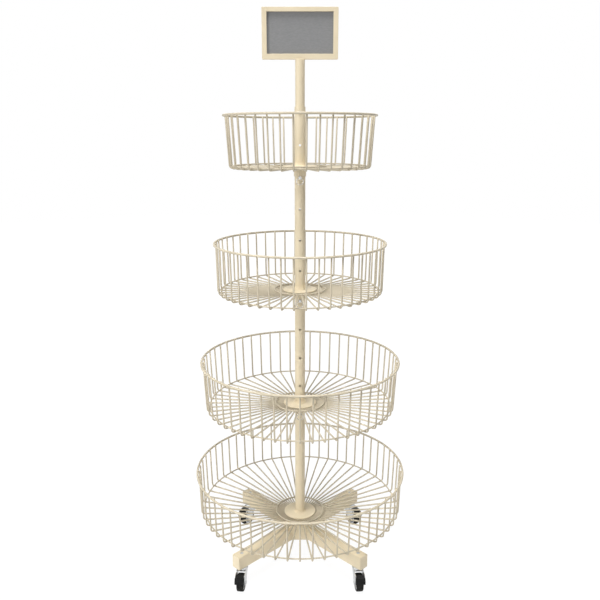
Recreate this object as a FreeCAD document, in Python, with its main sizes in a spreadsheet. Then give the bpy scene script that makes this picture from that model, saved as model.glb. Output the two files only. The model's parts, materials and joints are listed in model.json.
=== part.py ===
"""A tiered display stand: four round wire baskets that turn on one pole, on a cross base with casters.

+Z is up and -Y is the front. The origin lies on the floor, on the pole's axis. Lengths are in
millimetres and angles in degrees.
"""
import FreeCAD, Part
import math
import os

import Sketcher

Vector = FreeCAD.Vector
Rotation = FreeCAD.Rotation
Rule = Sketcher.Constraint

# Sides of the cross base, as the angle of each leg about the pole
LEG_ANGLES = {"front_left": 225, "front_right": 315, "back_right": 45, "back_left": 135}
EVERY_LEG = str(len(LEG_ANGLES))
# Baskets from the top down, and those of them that hang on a pin
TIERS = ["top", "upper", "lower", "bottom"]
PINNED_TIERS = TIERS[:-1]

# Driving sizes: name, value and what it is on the stand
SIZES = [
    ("running_gap", 0.3, "between pieces that turn or slide past each other"),
    ("shaft_gap", 0.05, "round a shaft or a pin in its hole, on the radius"),
    ("weld_gap", 0.1, "between pieces that are welded or screwed together"),
    ("overrun", 5, "how far a cut runs past the solid"),
    ("pole_diameter", 29, "outside of the pole's tube"),
    ("pole_wall", 1.5, "wall of the pole's tube"),
    ("hole_pitch", 84.7, "step between the pole's height holes"),
    ("hole_count", 10, "number of height holes"),
    ("lowest_hole", 466.4, "height of the lowest height hole"),
    ("pole_end", 98.3, "pole above its highest hole"),
    ("holes_per_tier", 4, "height holes from one basket to the next"),
    ("pin_diameter", 6, "support pin"),
    ("pin_tail", 3, "how far the pin runs out behind the hub's collar"),
    ("pin_head_diameter", 9, "stop on the pin"),
    ("pin_head_thickness", 2, "stop on the pin"),
    ("pin_head_gap", 0.7, "between the hub's collar and the pin's stop"),
    ("eye_offset", 3.3, "from the pin's stop to the eye for its ring"),
    ("eye_end", 3.5, "from the eye to the pin's tip"),
    ("eye_diameter", 3.4, "eye for the pull ring"),
    ("ring_radius", 9, "pull ring, to the middle of its wire"),
    ("ring_wire", 1.8, "pull ring's wire"),
    ("collar_wall", 1.7, "tube of the hub's collar"),
    ("collar_rise", 8, "collar above the hub's disc"),
    ("collar_drop", 25.4, "collar below the hub's disc"),
    ("disc_radius", 47, "hub's disc"),
    ("disc_thickness", 2.5, "hub's disc"),
    ("rim_wire", 6, "rim of every basket"),
    ("wire_diameter", 4.5, "upright and floor wires"),
    ("floor_ring_wire", 4, "two rings of every floor"),
    ("wire_bend", 8, "bend at the foot, to the middle of the wire"),
    ("wire_top_inset", 1, "wires' ends below the top of the rim"),
    ("spoke_gap", 0.5, "between the wires' inner ends"),
    ("inner_ring_radius", 71, "inner ring of every floor"),
    ("outer_ring_inset", 9, "outer ring of a floor, inside the wires' feet"),
    ("top_rim_radius", 202, "top basket, to the middle of its rim"),
    ("top_foot_radius", 188, "top basket, to the middle of its wires' feet"),
    ("top_wires", 38, "number of wires"),
    ("upper_rim_radius", 236, "upper basket, as above"),
    ("upper_foot_radius", 228, "upper basket"),
    ("upper_wires", 46, "number of wires"),
    ("lower_rim_radius", 282, "lower basket"),
    ("lower_foot_radius", 270, "lower basket"),
    ("lower_wires", 52, "number of wires"),
    ("bottom_rim_radius", 305, "bottom basket"),
    ("bottom_foot_radius", 296, "bottom basket"),
    ("bottom_wires", 56, "number of wires"),
    ("basket_depth", 135, "rim above the feet, baskets on a pin"),
    ("bottom_basket_depth", 119, "rim above the feet, bottom basket"),
    ("bottom_foot_height", 170, "feet of the bottom basket above the floor"),
    ("box_width", 84, "square box in the middle of the base"),
    ("box_height", 47, "square box"),
    ("box_wall", 2, "square box"),
    ("plate_thickness", 4, "bottom plate under the pole"),
    ("tube_corner", 3, "rounded corners of the box and the legs"),
    ("plug_height", 25, "threaded plug in the pole's foot"),
    ("pole_bolt_diameter", 8, "bolt through the bottom plate"),
    ("pole_bolt_length", 22, "bolt through the bottom plate, under its head"),
    ("pole_bolt_flats", 13, "bolt's head across its flats"),
    ("pole_bolt_head", 5.3, "bolt's head"),
    ("leg_width", 30, "leg's tube"),
    ("leg_height", 40, "leg's tube"),
    ("leg_wall", 1.5, "leg's tube"),
    ("leg_reach", 255, "leg's closed end from the pole's axis"),
    ("cap_thickness", 2, "plate that closes a leg"),
    ("caster_inset", 22, "caster's swivel axis from the leg's end"),
    ("wheel_diameter", 50, "caster wheel"),
    ("tyre_width", 20, "caster wheel"),
    ("tyre_height", 6, "tread from the core to the floor"),
    ("tyre_edge", 2.5, "bevel at the tread's edges"),
    ("wheel_rim_width", 18, "core under the tyre"),
    ("wheel_rim_height", 4, "core's outer band"),
    ("wheel_web", 6, "core's disc"),
    ("wheel_hub_diameter", 16, "core's hub"),
    ("wheel_hub_width", 22.4, "core's hub"),
    ("axle_diameter", 6, "caster axle"),
    ("axle_head_diameter", 11, "caster axle's riveted heads"),
    ("axle_head_height", 2, "caster axle's riveted heads"),
    ("trail", 18, "axle behind the swivel axis"),
    ("fork_wall", 2, "fork's pressed sheet"),
    ("fork_side_gap", 0.5, "between the wheel's hub and the fork"),
    ("fork_front", 16, "fork ahead of the swivel axis"),
    ("fork_back", 18, "fork's top behind the swivel axis"),
    ("fork_skirt", 6, "fork's edge ahead of the swivel axis"),
    ("fork_boss_radius", 9, "fork round the axle"),
    ("fork_ear", 5, "fork round the pedal's pivot"),
    ("head_room", 9.2, "between the wheel and the fork's top"),
    ("kingpin_diameter", 10, "pin that the fork swivels on"),
    ("kingpin_head_diameter", 18, "its riveted head"),
    ("kingpin_head_height", 3, "its riveted head"),
    ("flange_diameter", 34, "cap between the fork and the leg"),
    ("flange_height", 5, "cap between the fork and the leg"),
    ("flange_slope", 3, "bevel round the cap's top"),
    ("stud_diameter", 10, "threaded stud through the leg"),
    ("stud_end", 0.5, "stud's end below the leg's top"),
    ("nut_flats", 17, "caster nut across its flats"),
    ("nut_height", 8, "caster nut"),
    ("stud_hole_gap", 0.25, "stud's hole in the leg, on the radius"),
    ("pivot_out", 15, "pedal's pivot from the axle, to the outside"),
    ("pivot_rise", 3.6, "pedal's pivot above the wheel"),
    ("pivot_diameter", 4, "pedal's trunnions"),
    ("pedal_hub_radius", 3.6, "pedal round its pivot"),
    ("pedal_width", 27, "pedal outside the fork"),
    ("pedal_neck", 6.2, "wide part of the pedal, from its pivot"),
    ("pedal_brow", 10.5, "pedal's upper bend, from its pivot"),
    ("pedal_brow_drop", 0.5, "pedal's upper bend, below its pivot"),
    ("pedal_reach", 14.5, "pedal's toe, from its pivot"),
    ("pedal_knee_drop", 9, "pedal's lower bend, below its pivot"),
    ("pedal_toe_drop", 17, "pedal's toe, below its pivot"),
    ("pedal_toe_thickness", 4.5, "pedal's toe"),
    ("pedal_heel", 7.5, "hollow of the pedal's underside, from its pivot"),
    ("shoe_gap", 0.3, "between the brake's shoe and the tyre"),
    ("shoe_start_angle", 116, "angle of the shoe's upper edge about the axle"),
    ("shoe_end_angle", 134, "angle of the shoe's lower edge about the axle"),
    ("front_turn_angle", 6, "how far the front casters stand turned"),
    ("back_turn_angle", 35, "how far the back casters stand turned"),
    ("stem_gap", 0.5, "stem inside the pole, on the radius"),
    ("stem_wall", 1.5, "stem's tube"),
    ("stem_depth", 60, "stem inside the pole"),
    ("stem_rise", 118, "stem between the pole and the card frame"),
    ("button_drop", 15, "button below the pole's top"),
    ("button_diameter", 8, "stem's snap button"),
    ("button_proud", 2, "button outside the pole"),
    ("strip_thickness", 0.8, "button's spring strip"),
    ("strip_width", 7, "button's spring strip"),
    ("strip_rise", 8, "strip above the button"),
    ("strip_drop", 30, "strip below the button"),
    ("strip_back", 6.3, "strip's free end behind the stem's axis"),
    ("sign_width", 196, "price card frame"),
    ("sign_height", 126, "price card frame"),
    ("sign_depth", 12, "price card frame"),
    ("sign_corner", 2, "rounded corners of the frame"),
    ("side_border", 12.5, "frame beside the card"),
    ("top_border", 11, "frame above the card"),
    ("bottom_border", 13.5, "frame below the card"),
    ("card_side_grip", 7.5, "card behind each side border"),
    ("card_bottom_grip", 8, "card behind the bottom border"),
    ("card_top_drop", 3, "card's edge below the frame's top"),
    ("card_thickness", 1.5, "price card"),
]

# Places and sizes that follow from the driving ones
PLACES = [
    ("pole_radius", "Size.pole_diameter / 2"),
    ("bore_radius", "Place.pole_radius - Size.pole_wall"),
    ("pin_radius", "Size.pin_diameter / 2"),
    ("pin_hole_radius", "Place.pin_radius + Size.shaft_gap"),
    ("collar_bore", "Place.pole_radius + Size.running_gap"),
    ("collar_radius", "Place.collar_bore + Size.collar_wall"),
    ("wheel_radius", "Size.wheel_diameter / 2"),
    ("fork_bottom", "Size.wheel_diameter + Size.head_room"),
    ("fork_top", "Place.fork_bottom + Size.fork_wall"),
    ("fork_inside", "Size.wheel_hub_width / 2 + Size.fork_side_gap"),
    ("fork_outside", "Place.fork_inside + Size.fork_wall"),
    ("flange_bottom", "Place.fork_top + Size.running_gap"),
    ("base_bottom", "Place.flange_bottom + Size.flange_height"),
    ("leg_top", "Place.base_bottom + Size.leg_height"),
    ("box_top", "Place.base_bottom + Size.box_height"),
    ("pole_foot", "Place.base_bottom + Size.plate_thickness"),
    ("caster_radius", "Size.leg_reach - Size.caster_inset"),
    ("caster_offset", "Place.caster_radius / sqrt(2)"),
    ("stud_radius", "Size.stud_diameter / 2"),
    ("pivot_place", "-Size.trail - Size.pivot_out"),
    ("pivot_height", "Size.wheel_diameter + Size.pivot_rise"),
    ("pivot_radius", "Size.pivot_diameter / 2"),
    ("core_radius", "Place.wheel_radius - Size.tyre_height"),
    ("axle_radius", "Size.axle_diameter / 2"),
    ("pin_head_start", "Place.collar_radius + Size.pin_head_gap"),
    ("eye_place", "Place.pin_head_start + Size.pin_head_thickness + Size.eye_offset"),
    ("highest_hole", "Size.lowest_hole + (Size.hole_count - 1) * Size.hole_pitch"),
    ("pole_top", "Place.highest_hole + Size.pole_end"),
    ("stem_radius", "Place.bore_radius - Size.stem_gap"),
    ("stem_bore", "Place.stem_radius - Size.stem_wall"),
    ("button_height", "Place.pole_top - Size.button_drop"),
    ("button_hole_radius", "Size.button_diameter / 2 + Size.shaft_gap"),
    ("sign_bottom", "Place.pole_top + Size.stem_rise"),
    ("sign_top", "Place.sign_bottom + Size.sign_height"),
    ("window_side", "Size.sign_width / 2 - Size.side_border"),
    ("card_side", "Place.window_side + Size.card_side_grip"),
    ("card_bottom", "Place.sign_bottom + Size.bottom_border - Size.card_bottom_grip"),
    ("card_top", "Place.sign_top - Size.card_top_drop"),
    ("rim_radius_of_wire", "Size.rim_wire / 2"),
    ("wire_radius", "Size.wire_diameter / 2"),
    ("spoke_drop", "Place.wire_radius + Size.weld_gap"),
    ("rim_to_wire", "Place.rim_radius_of_wire + Place.wire_radius + Size.weld_gap"),
    ("ring_to_wire", "Size.floor_ring_wire / 2 + Place.wire_radius + Size.weld_gap"),
]


def tier_places(tier):
    """Work out one basket's places: its pin, its floor at the hub and its wires."""
    pinned = tier in PINNED_TIERS
    steps = PINNED_TIERS[::-1].index(tier) if pinned else 0
    pin = "Size.lowest_hole + %d * Size.holes_per_tier * Size.hole_pitch" % steps
    seat = "Place.%s_pin + Place.pin_radius" % tier if pinned else "Place.box_top"
    floor = "Place.%s_hub - Place.spoke_drop" % tier
    rise = "0" if pinned else "Size.bottom_foot_height - Place.%s_floor" % tier
    depth = "Size.basket_depth" if pinned else "Size.bottom_basket_depth"
    rows = [("pin", pin)] if pinned else []
    rows += [
        ("hub", seat + " + Size.running_gap + Size.collar_drop"),
        ("floor", floor),
        ("rise", rise),
        ("rim", "Place.{0}_rise + " + depth),
        ("slope", "Place.{0}_rise / (Size.{0}_foot_radius - Size.disc_radius)"),
        ("stretch", "sqrt(1 + Place.{0}_slope * Place.{0}_slope)"),
        ("wire_top", "Place.{0}_rim + Place.rim_radius_of_wire - Size.wire_top_inset"),
        ("wire_side", "Size.{0}_rim_radius - Place.rim_to_wire"),
        ("spoke_end", "Size.{0}_wires * (Size.wire_diameter + Size.spoke_gap) / (2 * pi)"),
        ("spoke_dip", "Place.{0}_slope * (Place.{0}_spoke_end - Size.disc_radius)"),
        ("outer_ring", "Size.{0}_foot_radius - Size.outer_ring_inset"),
    ]
    return [("%s_%s" % (tier, name), formula.format(tier)) for name, formula in rows]


doc = FreeCAD.newDocument("basket_stand")
pieces = []


def fill_sheet(name, rows):
    """Put rows of name, content and note into a sheet, with each name as its cell's alias."""
    sheet = doc.addObject("Spreadsheet::Sheet", name)
    for number, (alias, content, note) in enumerate(rows, start=1):
        sheet.set("A%d" % number, alias)
        sheet.set("B%d" % number, content)
        sheet.setAlias("B%d" % number, alias)
        sheet.set("C%d" % number, note)
    doc.recompute()
    return sheet


sizes = fill_sheet("Size", [(name, str(number), note) for name, number, note in SIZES])
for tier_name in TIERS:
    PLACES += tier_places(tier_name)
fill_sheet("Place", [(name, "=" + formula.replace("Place.", ""), "") for name, formula in PLACES])


def value(expression):
    """Work out an expression in the sheets' names as a plain number."""
    result = sizes.evalExpression(expression)
    return float(getattr(result, "Value", result))


def new_piece(label, several=False):
    """Start a sub-part. One that holds several like solids keeps them apart."""
    body = doc.addObject("PartDesign::Body", label)
    body.Label = label
    body.AllowCompound = several
    pieces.append(body)
    return body


def origin_part(body, role):
    """Find one of the body's own planes or axes."""
    return next(item for item in body.Origin.OriginFeatures if item.Role == role)


def new_sketch(body, plane, name="Outline", **shift):
    """Attach a sketch to a plane of the body, moved by expressions for x, y and z."""
    sketch = body.newObject("Sketcher::SketchObject", name)
    sketch.AttachmentSupport = [(origin_part(body, plane), "")]
    sketch.MapMode = "FlatFace"
    for axis, expression in shift.items():
        sketch.setExpression(".AttachmentOffset.Base." + axis, expression)
    return sketch


def bind(sketch, rule, expression):
    """Add a sketch dimension that follows an expression."""
    number = sketch.addConstraint(rule)
    name = "size_%d" % number
    sketch.renameConstraint(number, name)
    sketch.setExpression("Constraints." + name, expression)


def hold_point(sketch, item, end, x, y):
    """Tie one point of a sketch item to its place, given as two expressions."""
    for kind, place, axis in (("DistanceX", x, -2), ("DistanceY", y, -1)):
        if place == "0":
            sketch.addConstraint(Rule("PointOnObject", item, end, axis))
        else:
            bind(sketch, Rule(kind, item, end, value(place)), place)


def circle(sketch, radius, x="0", y="0"):
    """Draw a circle with its radius and centre tied to expressions."""
    middle = Vector(value(x), value(y), 0)
    item = sketch.addGeometry(Part.Circle(middle, Vector(0, 0, 1), value(radius)))
    hold_point(sketch, item, 3, x, y)
    bind(sketch, Rule("Radius", item, value(radius)), radius)


def outline(sketch, points):
    """Draw a closed outline of straight lines through points given as two expressions each."""
    corners = [Vector(value(x), value(y), 0) for x, y in points]
    first = sketch.GeometryCount
    for start, end in zip(corners, corners[1:] + corners[:1]):
        sketch.addGeometry(Part.LineSegment(start, end))
    for number, (x, y) in enumerate(points):
        before = first + (number - 1) % len(points)
        sketch.addConstraint(Rule("Coincident", before, 2, first + number, 1))
        hold_point(sketch, first + number, 1, x, y)


def rectangle(sketch, left, right, low, high):
    """Draw a rectangle between four expressions."""
    outline(sketch, [(left, low), (right, low), (right, high), (left, high)])


def hexagon(sketch, flats):
    """Draw a hexagon of a given size across its flats, with two corners on the X axis."""
    side = "(%s) / sqrt(3)" % flats
    half = "(%s) / 2" % flats
    corner = "%s / 2" % side
    left = [("-" + corner, half), ("-" + side, "0"), ("-" + corner, "-" + half)]
    outline(sketch, [(corner, "-" + half), (side, "0"), (corner, half)] + left)


def pad(body, sketch, length, centred=False):
    """Raise a sketch along its normal, or to both sides of its plane."""
    feature = body.newObject("PartDesign::Pad", "Pad")
    feature.Profile = sketch
    feature.SideType = "Symmetric" if centred else "One side"
    feature.setExpression("Length", length)
    return feature


def cut(body, sketch, length=None, centred=False, forward=False):
    """Cut a sketch out of the body, right through or to a length, against its normal or along it."""
    feature = body.newObject("PartDesign::Pocket", "Cut")
    feature.Profile = sketch
    feature.SideType = "Symmetric" if centred else "One side"
    feature.Reversed = forward
    if length is None:
        feature.Type = "ThroughAll"
    else:
        feature.setExpression("Length", length)
    return feature


def turn(body, sketch, axis="V_Axis"):
    """Turn a sketch a full circle about its own upright or level axis."""
    feature = body.newObject("PartDesign::Revolution", "Turned")
    feature.Profile = sketch
    feature.ReferenceAxis = (sketch, [axis])
    feature.Angle = 360
    return feature


def ring_of(body, features, count):
    """Repeat a solid, made by one or more features, round the body's Z axis."""
    pattern = body.newObject("PartDesign::PolarPattern", "Ring")
    pattern.Originals = features
    pattern.Axis = (origin_part(body, "Z_Axis"), [""])
    pattern.Angle = 360
    pattern.setExpression("Occurrences", count)
    body.Tip = pattern


def round_edges(body, radius, direction):
    """Round the straight edges of the body so far that run along a direction."""
    doc.recompute()
    base = body.Tip
    names = []
    for number, edge in enumerate(base.Shape.Edges, start=1):
        straight = isinstance(edge.Curve, Part.Line)
        if straight and edge.Curve.Direction.isParallel(direction, math.radians(1)):
            names.append("Edge%d" % number)
    feature = body.newObject("PartDesign::Fillet", "Rounded")
    feature.Base = (base, names)
    feature.setExpression("Radius", radius)
    return feature


def place(body, x="0", y="0", z="0", turned=0):
    """Put a finished sub-part at its place, turned about Z first."""
    body.Placement = FreeCAD.Placement(Vector(), Rotation(Vector(0, 0, 1), turned))
    for axis, expression in (("x", x), ("y", y), ("z", z)):
        if expression != "0":
            body.setExpression(".Placement.Base." + axis, expression)


def base_centre_box():
    """Welded square box, open below, with a hole in its top for the pole."""
    body = new_piece("base_centre_box")
    block = new_sketch(body, "XY_Plane", z="Place.base_bottom")
    half = "Size.box_width / 2"
    rectangle(block, "-" + half, half, "-" + half, half)
    pad(body, block, "Size.box_height")
    round_edges(body, "Size.tube_corner", Vector(0, 0, 1))
    inside = new_sketch(body, "XY_Plane", "Inside", z="Place.base_bottom")
    inner = "(Size.box_width / 2 - Size.box_wall)"
    rectangle(inside, "-" + inner, inner, "-" + inner, inner)
    cut(body, inside, "Size.box_height - Size.box_wall", forward=True)
    hole = new_sketch(body, "XY_Plane", "Pole_hole")
    circle(hole, "Place.pole_radius + Size.weld_gap")
    cut(body, hole, forward=True)


def base_bottom_plate():
    """Plate inside the box's open underside, which the pole stands on."""
    body = new_piece("base_bottom_plate")
    plate = new_sketch(body, "XY_Plane", z="Place.base_bottom")
    half = "(Size.box_width / 2 - Size.box_wall - Size.weld_gap)"
    rectangle(plate, "-" + half, half, "-" + half, half)
    circle(plate, "Size.pole_bolt_diameter / 2 + Size.stud_hole_gap")
    pad(body, plate, "Size.plate_thickness")


def leg(name, angle):
    """Rectangular tube, notched to fit the box's corner, with a hole for its caster's stud."""
    body = new_piece("leg_" + name)
    plan = new_sketch(body, "XY_Plane", z="Place.base_bottom")
    half = "Size.leg_width / 2"
    notch = "(Size.box_width / 2 + Size.weld_gap) * sqrt(2)"
    shoulder = notch + " - " + half
    end = "Size.leg_reach - Size.cap_thickness - Size.weld_gap"
    tip = [(end, half), (end, "-" + half)]
    outline(plan, [(notch, "0"), (shoulder, half)] + tip + [(shoulder, "-" + half)])
    pad(body, plan, "Size.leg_height")
    round_edges(body, "Size.tube_corner", Vector(1, 0, 0))
    bore = new_sketch(body, "YZ_Plane", "Bore")
    inner = "(Size.leg_width / 2 - Size.leg_wall)"
    low = "Place.base_bottom + Size.leg_wall"
    rectangle(bore, "-" + inner, inner, low, "Place.leg_top - Size.leg_wall")
    cut(body, bore, forward=True)
    hole = new_sketch(body, "XY_Plane", "Stud_hole")
    circle(hole, "Place.stud_radius + Size.stud_hole_gap", x="Place.caster_radius")
    cut(body, hole, forward=True)
    place(body, turned=angle)


def leg_end_caps():
    """Plates welded over the legs' ends."""
    body = new_piece("leg_end_caps", several=True)
    face = new_sketch(body, "YZ_Plane", z="Size.leg_reach - Size.cap_thickness")
    half = "Size.leg_width / 2"
    rectangle(face, "-" + half, half, "Place.base_bottom", "Place.leg_top")
    plate = pad(body, face, "Size.cap_thickness")
    corners = round_edges(body, "Size.tube_corner", Vector(1, 0, 0))
    ring_of(body, [plate, corners], EVERY_LEG)
    place(body, turned=LEG_ANGLES["back_right"])


def caster_studs():
    """Threaded studs through the legs, each with the cap and riveted pin that its fork turns on."""
    body = new_piece("caster_studs", several=True)
    profile = new_sketch(body, "XZ_Plane", x="Place.caster_radius")
    head = "Size.kingpin_head_diameter / 2"
    head_top = "Place.fork_bottom - Size.running_gap"
    pin = "Size.kingpin_diameter / 2"
    flange = "Size.flange_diameter / 2"
    stud_top = "Place.leg_top - Size.stud_end"
    outline(profile, [
        ("0", head_top + " - Size.kingpin_head_height"),
        (head, head_top + " - Size.kingpin_head_height"),
        (head, head_top),
        (pin, head_top),
        (pin, "Place.flange_bottom"),
        (flange, "Place.flange_bottom"),
        (flange, "Place.base_bottom - Size.flange_slope"),
        (flange + " - Size.flange_slope", "Place.base_bottom"),
        ("Place.stud_radius", "Place.base_bottom"),
        ("Place.stud_radius", stud_top),
        ("0", stud_top),
    ])
    ring_of(body, [turn(body, profile)], EVERY_LEG)
    place(body, turned=LEG_ANGLES["back_right"])


def caster_nuts():
    """Nuts welded inside the legs, on their bottom walls."""
    body = new_piece("caster_nuts", several=True)
    seat = "Place.base_bottom + Size.leg_wall + Size.weld_gap"
    plan = new_sketch(body, "XY_Plane", x="Place.caster_radius", z=seat)
    hexagon(plan, "Size.nut_flats")
    circle(plan, "Place.stud_radius + Size.shaft_gap")
    ring_of(body, [pad(body, plan, "Size.nut_height")], EVERY_LEG)
    place(body, turned=LEG_ANGLES["back_right"])


def place_caster(body, name):
    """Put a caster piece, drawn about its swivel axis, under its leg."""
    side = "" if "right" in name else "-"
    depth = "" if "back" in name else "-"
    angle = value("Size.back_turn_angle" if "back" in name else "Size.front_turn_angle")
    turned = angle if "right" in name else -angle
    place(body, x=side + "Place.caster_offset", y=depth + "Place.caster_offset", turned=turned)


def fork(name):
    """Pressed sheet fork: two cheeks and a top with the hole that it swivels on."""
    body = new_piece(name + "_fork")
    cheeks = new_sketch(body, "YZ_Plane")
    ear = "Place.pivot_place - Size.fork_ear"
    outline(cheeks, [
        ("Size.fork_front", "Place.fork_top"),
        ("Size.fork_front", "Place.fork_top - Size.fork_skirt"),
        ("-Size.trail + Size.fork_boss_radius", "Place.wheel_radius"),
        ("-Size.trail - Size.fork_boss_radius", "Place.wheel_radius"),
        (ear, "Place.pivot_height - Size.fork_ear"),
        (ear, "Place.fork_top"),
    ])
    pad(body, cheeks, "2 * Place.fork_outside", centred=True)
    boss = new_sketch(body, "YZ_Plane", "Boss")
    circle(boss, "Size.fork_boss_radius", x="-Size.trail", y="Place.wheel_radius")
    pad(body, boss, "2 * Place.fork_outside", centred=True)
    round_edges(body, "Size.fork_wall", Vector(0, 1, 0))
    space = new_sketch(body, "XZ_Plane", "Wheel_space")
    rectangle(space, "-Place.fork_inside", "Place.fork_inside", "0", "Place.fork_bottom")
    cut(body, space, centred=True)
    open_top = new_sketch(body, "YZ_Plane", "Open_top")
    ear_top = "Place.pivot_height + Size.fork_ear"
    above = "Place.fork_top + Size.overrun"
    rectangle(open_top, ear + " - Size.overrun", "-Size.fork_back", ear_top, above)
    cut(body, open_top, centred=True)
    swivel = new_sketch(body, "XY_Plane", "Swivel_hole")
    circle(swivel, "Size.kingpin_diameter / 2 + Size.shaft_gap")
    cut(body, swivel, forward=True)
    cross = new_sketch(body, "YZ_Plane", "Cross_holes")
    circle(cross, "Place.axle_radius", x="-Size.trail", y="Place.wheel_radius")
    circle(cross, "Place.pivot_radius + Size.shaft_gap", x="Place.pivot_place", y="Place.pivot_height")
    cut(body, cross, centred=True)
    place_caster(body, name)


def axle_sketch(body):
    """Attach a sketch whose level axis is the wheel's axle."""
    return new_sketch(body, "XY_Plane", y="-Size.trail", z="Place.wheel_radius")


def axle(name):
    """Rivet that the wheel turns on, with a head outside each cheek."""
    body = new_piece(name + "_axle")
    profile = axle_sketch(body)
    face = "(Place.fork_outside + Size.weld_gap)"
    end = "(Place.fork_outside + Size.weld_gap + Size.axle_head_height)"
    head = "Size.axle_head_diameter / 2"
    right = [(end, "0"), (end, head), (face, head), (face, "Place.axle_radius")]
    left = [("-" + x, y) for x, y in reversed(right)]
    outline(profile, right + left)
    turn(body, profile, "H_Axis")
    place_caster(body, name)


def wheel_core(name):
    """Wheel without its tread: hub, disc and outer band."""
    body = new_piece(name + "_wheel")
    profile = axle_sketch(body)
    bore = "Place.axle_radius + Size.shaft_gap"
    hub = "Size.wheel_hub_diameter / 2"
    band = "Place.core_radius - Size.wheel_rim_height"
    right = [
        ("Size.wheel_hub_width / 2", bore),
        ("Size.wheel_hub_width / 2", hub),
        ("Size.wheel_web / 2", hub),
        ("Size.wheel_web / 2", band),
        ("Size.wheel_rim_width / 2", band),
        ("Size.wheel_rim_width / 2", "Place.core_radius"),
    ]
    left = [("-" + x, y) for x, y in reversed(right)]
    outline(profile, right + left)
    turn(body, profile, "H_Axis")
    place_caster(body, name)


def tyre(name):
    """Rubber tread round the core."""
    body = new_piece(name + "_tyre")
    profile = axle_sketch(body)
    side = "Size.tyre_width / 2"
    right = [
        (side, "Place.core_radius"),
        (side, "Place.wheel_radius - Size.tyre_edge"),
        ("(Size.tyre_width / 2 - Size.tyre_edge)", "Place.wheel_radius"),
    ]
    left = [("-" + x, y) for x, y in reversed(right)]
    outline(profile, right + left)
    turn(body, profile, "H_Axis")
    place_caster(body, name)


def brake_pedal(name):
    """Lever over the wheel, with its shoe by the tread and its trunnions in the cheeks."""
    body = new_piece(name + "_brake_pedal")
    lever = new_sketch(body, "YZ_Plane")
    reach = "(Place.wheel_radius + Size.shoe_gap) / cos((Size.shoe_end_angle - Size.shoe_start_angle) / 2)"
    shoe = []
    for angle in ("Size.shoe_start_angle", "Size.shoe_end_angle"):
        along = "-Size.trail + %s * cos(%s)" % (reach, angle)
        shoe.append((along, "Place.wheel_radius + %s * sin(%s)" % (reach, angle)))
    out = "Place.pivot_place - Size."
    down = "Place.pivot_height - Size."
    toe_inside = out + "pedal_reach + Size.pedal_toe_thickness"
    hood = [
        (out + "pedal_heel", down + "pedal_knee_drop"),
        (toe_inside, down + "pedal_toe_drop"),
        (out + "pedal_reach", down + "pedal_toe_drop"),
        (out + "pedal_reach", down + "pedal_knee_drop"),
        (out + "pedal_brow", down + "pedal_brow_drop"),
    ]
    hub_front = ("Place.pivot_place + Size.pedal_hub_radius", "Place.pivot_height")
    hub_top = ("Place.pivot_place", "Place.pivot_height + Size.pedal_hub_radius")
    outline(lever, [hub_front] + shoe + hood + [hub_top])
    pad(body, lever, "Size.wheel_hub_width", centred=True)
    wide = new_sketch(body, "YZ_Plane", "Wide_toe")
    neck = out + "pedal_neck"
    outline(wide, [(neck, down + "pedal_neck * tan(30)")] + hood + [(neck, "Place.pivot_height")])
    pad(body, wide, "Size.pedal_width", centred=True)
    hub = new_sketch(body, "YZ_Plane", "Hub")
    circle(hub, "Size.pedal_hub_radius", x="Place.pivot_place", y="Place.pivot_height")
    pad(body, hub, "Size.wheel_hub_width", centred=True)
    trunnions = new_sketch(body, "YZ_Plane", "Trunnions")
    circle(trunnions, "Place.pivot_radius", x="Place.pivot_place", y="Place.pivot_height")
    pad(body, trunnions, "2 * Place.fork_outside", centred=True)
    place_caster(body, name)


def pole():
    """Upright tube with its row of height holes and the hole for the stem's button."""
    body = new_piece("pole")
    section = new_sketch(body, "XY_Plane", z="Place.pole_foot")
    circle(section, "Place.pole_radius")
    circle(section, "Place.bore_radius")
    pad(body, section, "Place.pole_top - Place.pole_foot")
    hole = new_sketch(body, "XZ_Plane", "Height_hole")
    circle(hole, "Place.pin_hole_radius", y="Size.lowest_hole")
    first = cut(body, hole, centred=True)
    row = body.newObject("PartDesign::LinearPattern", "Height_holes")
    row.Originals = [first]
    row.Direction = (hole, ["V_Axis"])
    row.Mode = "Spacing"
    row.setExpression("Offset", "Size.hole_pitch")
    row.setExpression("Occurrences", "Size.hole_count")
    body.Tip = row
    button = new_sketch(body, "XZ_Plane", "Button_hole")
    circle(button, "Place.button_hole_radius", y="Place.button_height")
    cut(body, button, forward=True)


def pole_foot_plug():
    """Threaded plug welded into the pole's foot."""
    body = new_piece("pole_foot_plug")
    section = new_sketch(body, "XY_Plane", z="Place.pole_foot")
    circle(section, "Place.bore_radius - Size.weld_gap")
    circle(section, "Size.pole_bolt_diameter / 2 + Size.shaft_gap")
    pad(body, section, "Size.plug_height")


def pole_bolt():
    """Bolt from below that holds the pole down on the bottom plate."""
    body = new_piece("pole_bolt")
    under_head = "Place.base_bottom - Size.weld_gap"
    head = new_sketch(body, "XY_Plane", "Head", z=under_head + " - Size.pole_bolt_head")
    hexagon(head, "Size.pole_bolt_flats")
    pad(body, head, "Size.pole_bolt_head")
    shank = new_sketch(body, "XY_Plane", "Shank", z=under_head)
    circle(shank, "Size.pole_bolt_diameter / 2")
    pad(body, shank, "Size.pole_bolt_length")


def sign_stem():
    """Tube that carries the card frame and stands in the pole's top."""
    body = new_piece("sign_stem")
    section = new_sketch(body, "XY_Plane", z="Place.pole_top - Size.stem_depth")
    circle(section, "Place.stem_radius")
    circle(section, "Place.stem_bore")
    pad(body, section, "Size.stem_depth + Size.stem_rise - Size.weld_gap")
    hole = new_sketch(body, "XZ_Plane", "Button_hole")
    circle(hole, "Place.button_hole_radius", y="Place.button_height")
    cut(body, hole, forward=True)


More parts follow.
